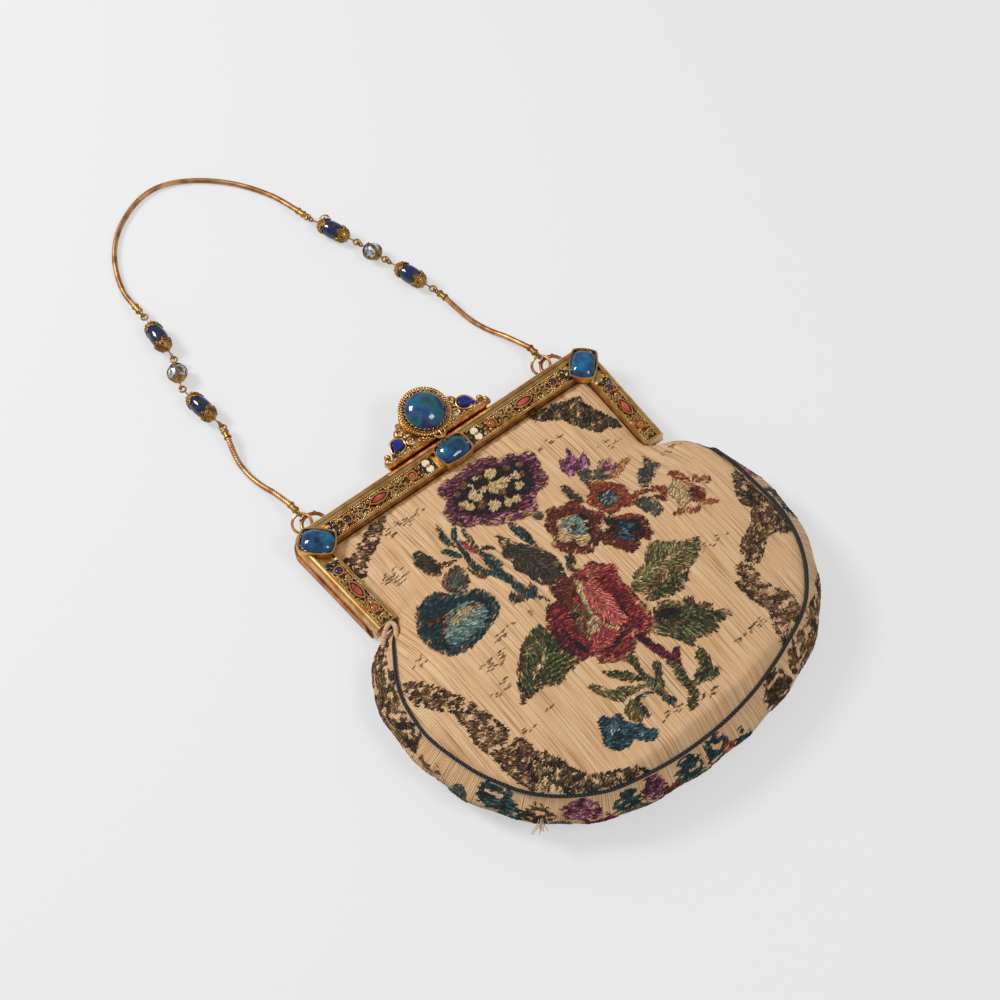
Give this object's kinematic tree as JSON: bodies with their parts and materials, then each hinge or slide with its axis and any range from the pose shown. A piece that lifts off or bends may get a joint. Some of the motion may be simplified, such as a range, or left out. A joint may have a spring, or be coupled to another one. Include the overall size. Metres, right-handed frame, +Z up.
{
  "type": "embroidered silk purse",
  "caption": "Evening purse of embroidered silk on a hinged gilt frame with a jewelled crest clasp and a snake-chain handle with glass beads.",
  "frame": {"origin": "middle of the hinge line, on the plane that the purse lies on", "axes": "+X along the frame's top bar to the right seen from the front, +Y from the bag's bottom to the crest, +Z up from the back to the embroidered front"},
  "size_m": [0.2016, 0.396, 0.03],
  "materials": {
    "gilt_brass": "worn gilt, dark in the recesses",
    "aged_brass": "dull antique gilt",
    "blue_stone": "polished, mottled",
    "marbled_glass": "polished, marbled",
    "lapis": "polished",
    "amethyst_glass": "polished",
    "coral": "polished",
    "carnelian": "polished",
    "white_enamel": "glossy",
    "silvered_glass": "faceted, silvery",
    "bead_glass": "mottled blue and green",
    "tapestry_silk": "ribbed weave with wool and silk stitching",
    "lining_silk": "plain silk",
    "piping_cord": "covered cord"
  },
  "bodies": {
    "back_half": {"back_frame": "gilt_brass", "back_panel": "tapestry_silk", "bead_left_first": "bead_glass", "bead_left_last": "bead_glass", "bead_left_middle": "silvered_glass", "bead_mount_left_first": "aged_brass", "bead_mount_left_last": "aged_brass", "bead_mount_left_middle": "aged_brass", "bead_mount_right_first": "aged_brass", "bead_mount_right_last": "aged_brass", "bead_mount_right_middle": "aged_brass", "bead_right_first": "bead_glass", "bead_right_last": "bead_glass", "bead_right_middle": "silvered_glass", "cap_left_bead": "aged_brass", "cap_left_ring": "aged_brass", "cap_long_left": "aged_brass", "cap_long_right": "aged_brass", "cap_right_bead": "aged_brass", "cap_right_ring": "aged_brass", "chain_left": "aged_brass", "chain_long": "aged_brass", "chain_right": "aged_brass", "crest_axle": "gilt_brass", "front_panel": "tapestry_silk", "gusset": "tapestry_silk", "hinge_pin_left": "gilt_brass", "hinge_pin_right": "gilt_brass", "lining": "lining_silk", "piping_back": "piping_cord", "piping_front": "piping_cord", "ring_left": "aged_brass", "ring_right": "aged_brass"},
    "front_half": {"amethyst_bar_left": "amethyst_glass", "amethyst_bar_right": "amethyst_glass", "amethyst_leg_left": "amethyst_glass", "amethyst_leg_right": "amethyst_glass", "carnelian_bar_left": "carnelian", "carnelian_bar_right": "carnelian", "carnelian_leg_left": "carnelian", "carnelian_leg_right": "carnelian", "centre_stone": "blue_stone", "coral_bar_left": "coral", "coral_bar_right": "coral", "coral_leg_left": "coral", "coral_leg_right": "coral", "corner_stone_left": "blue_stone", "corner_stone_right": "blue_stone", "enamel_flower_left": "white_enamel", "enamel_flower_right": "white_enamel", "filigree_bar_left": "gilt_brass", "filigree_bar_right": "gilt_brass", "filigree_leg_left": "gilt_brass", "filigree_leg_right": "gilt_brass", "front_frame": "gilt_brass"},
    "clasp": {"crest": "gilt_brass", "crest_stone": "marbled_glass", "crest_drop_left": "lapis", "crest_drop_right": "lapis"}
  },
  "joints": [
    {"name": "frame_hinge", "type": "hinge", "parent": "back_half", "child": "front_half", "pos_m": [0, 0, 0.00655], "axis": [1, 0, 0], "range_deg": [0, 85], "deforming": ["front_panel"]},
    {"name": "clasp_lever", "type": "hinge", "parent": "back_half", "child": "clasp", "pos_m": [0, 0.0593, 0.0031], "axis": [1, 0, 0], "range_deg": [-20, 0], "stiffness_Nm_per_rad": 0.05, "springref_deg": 5.73}
  ]
}
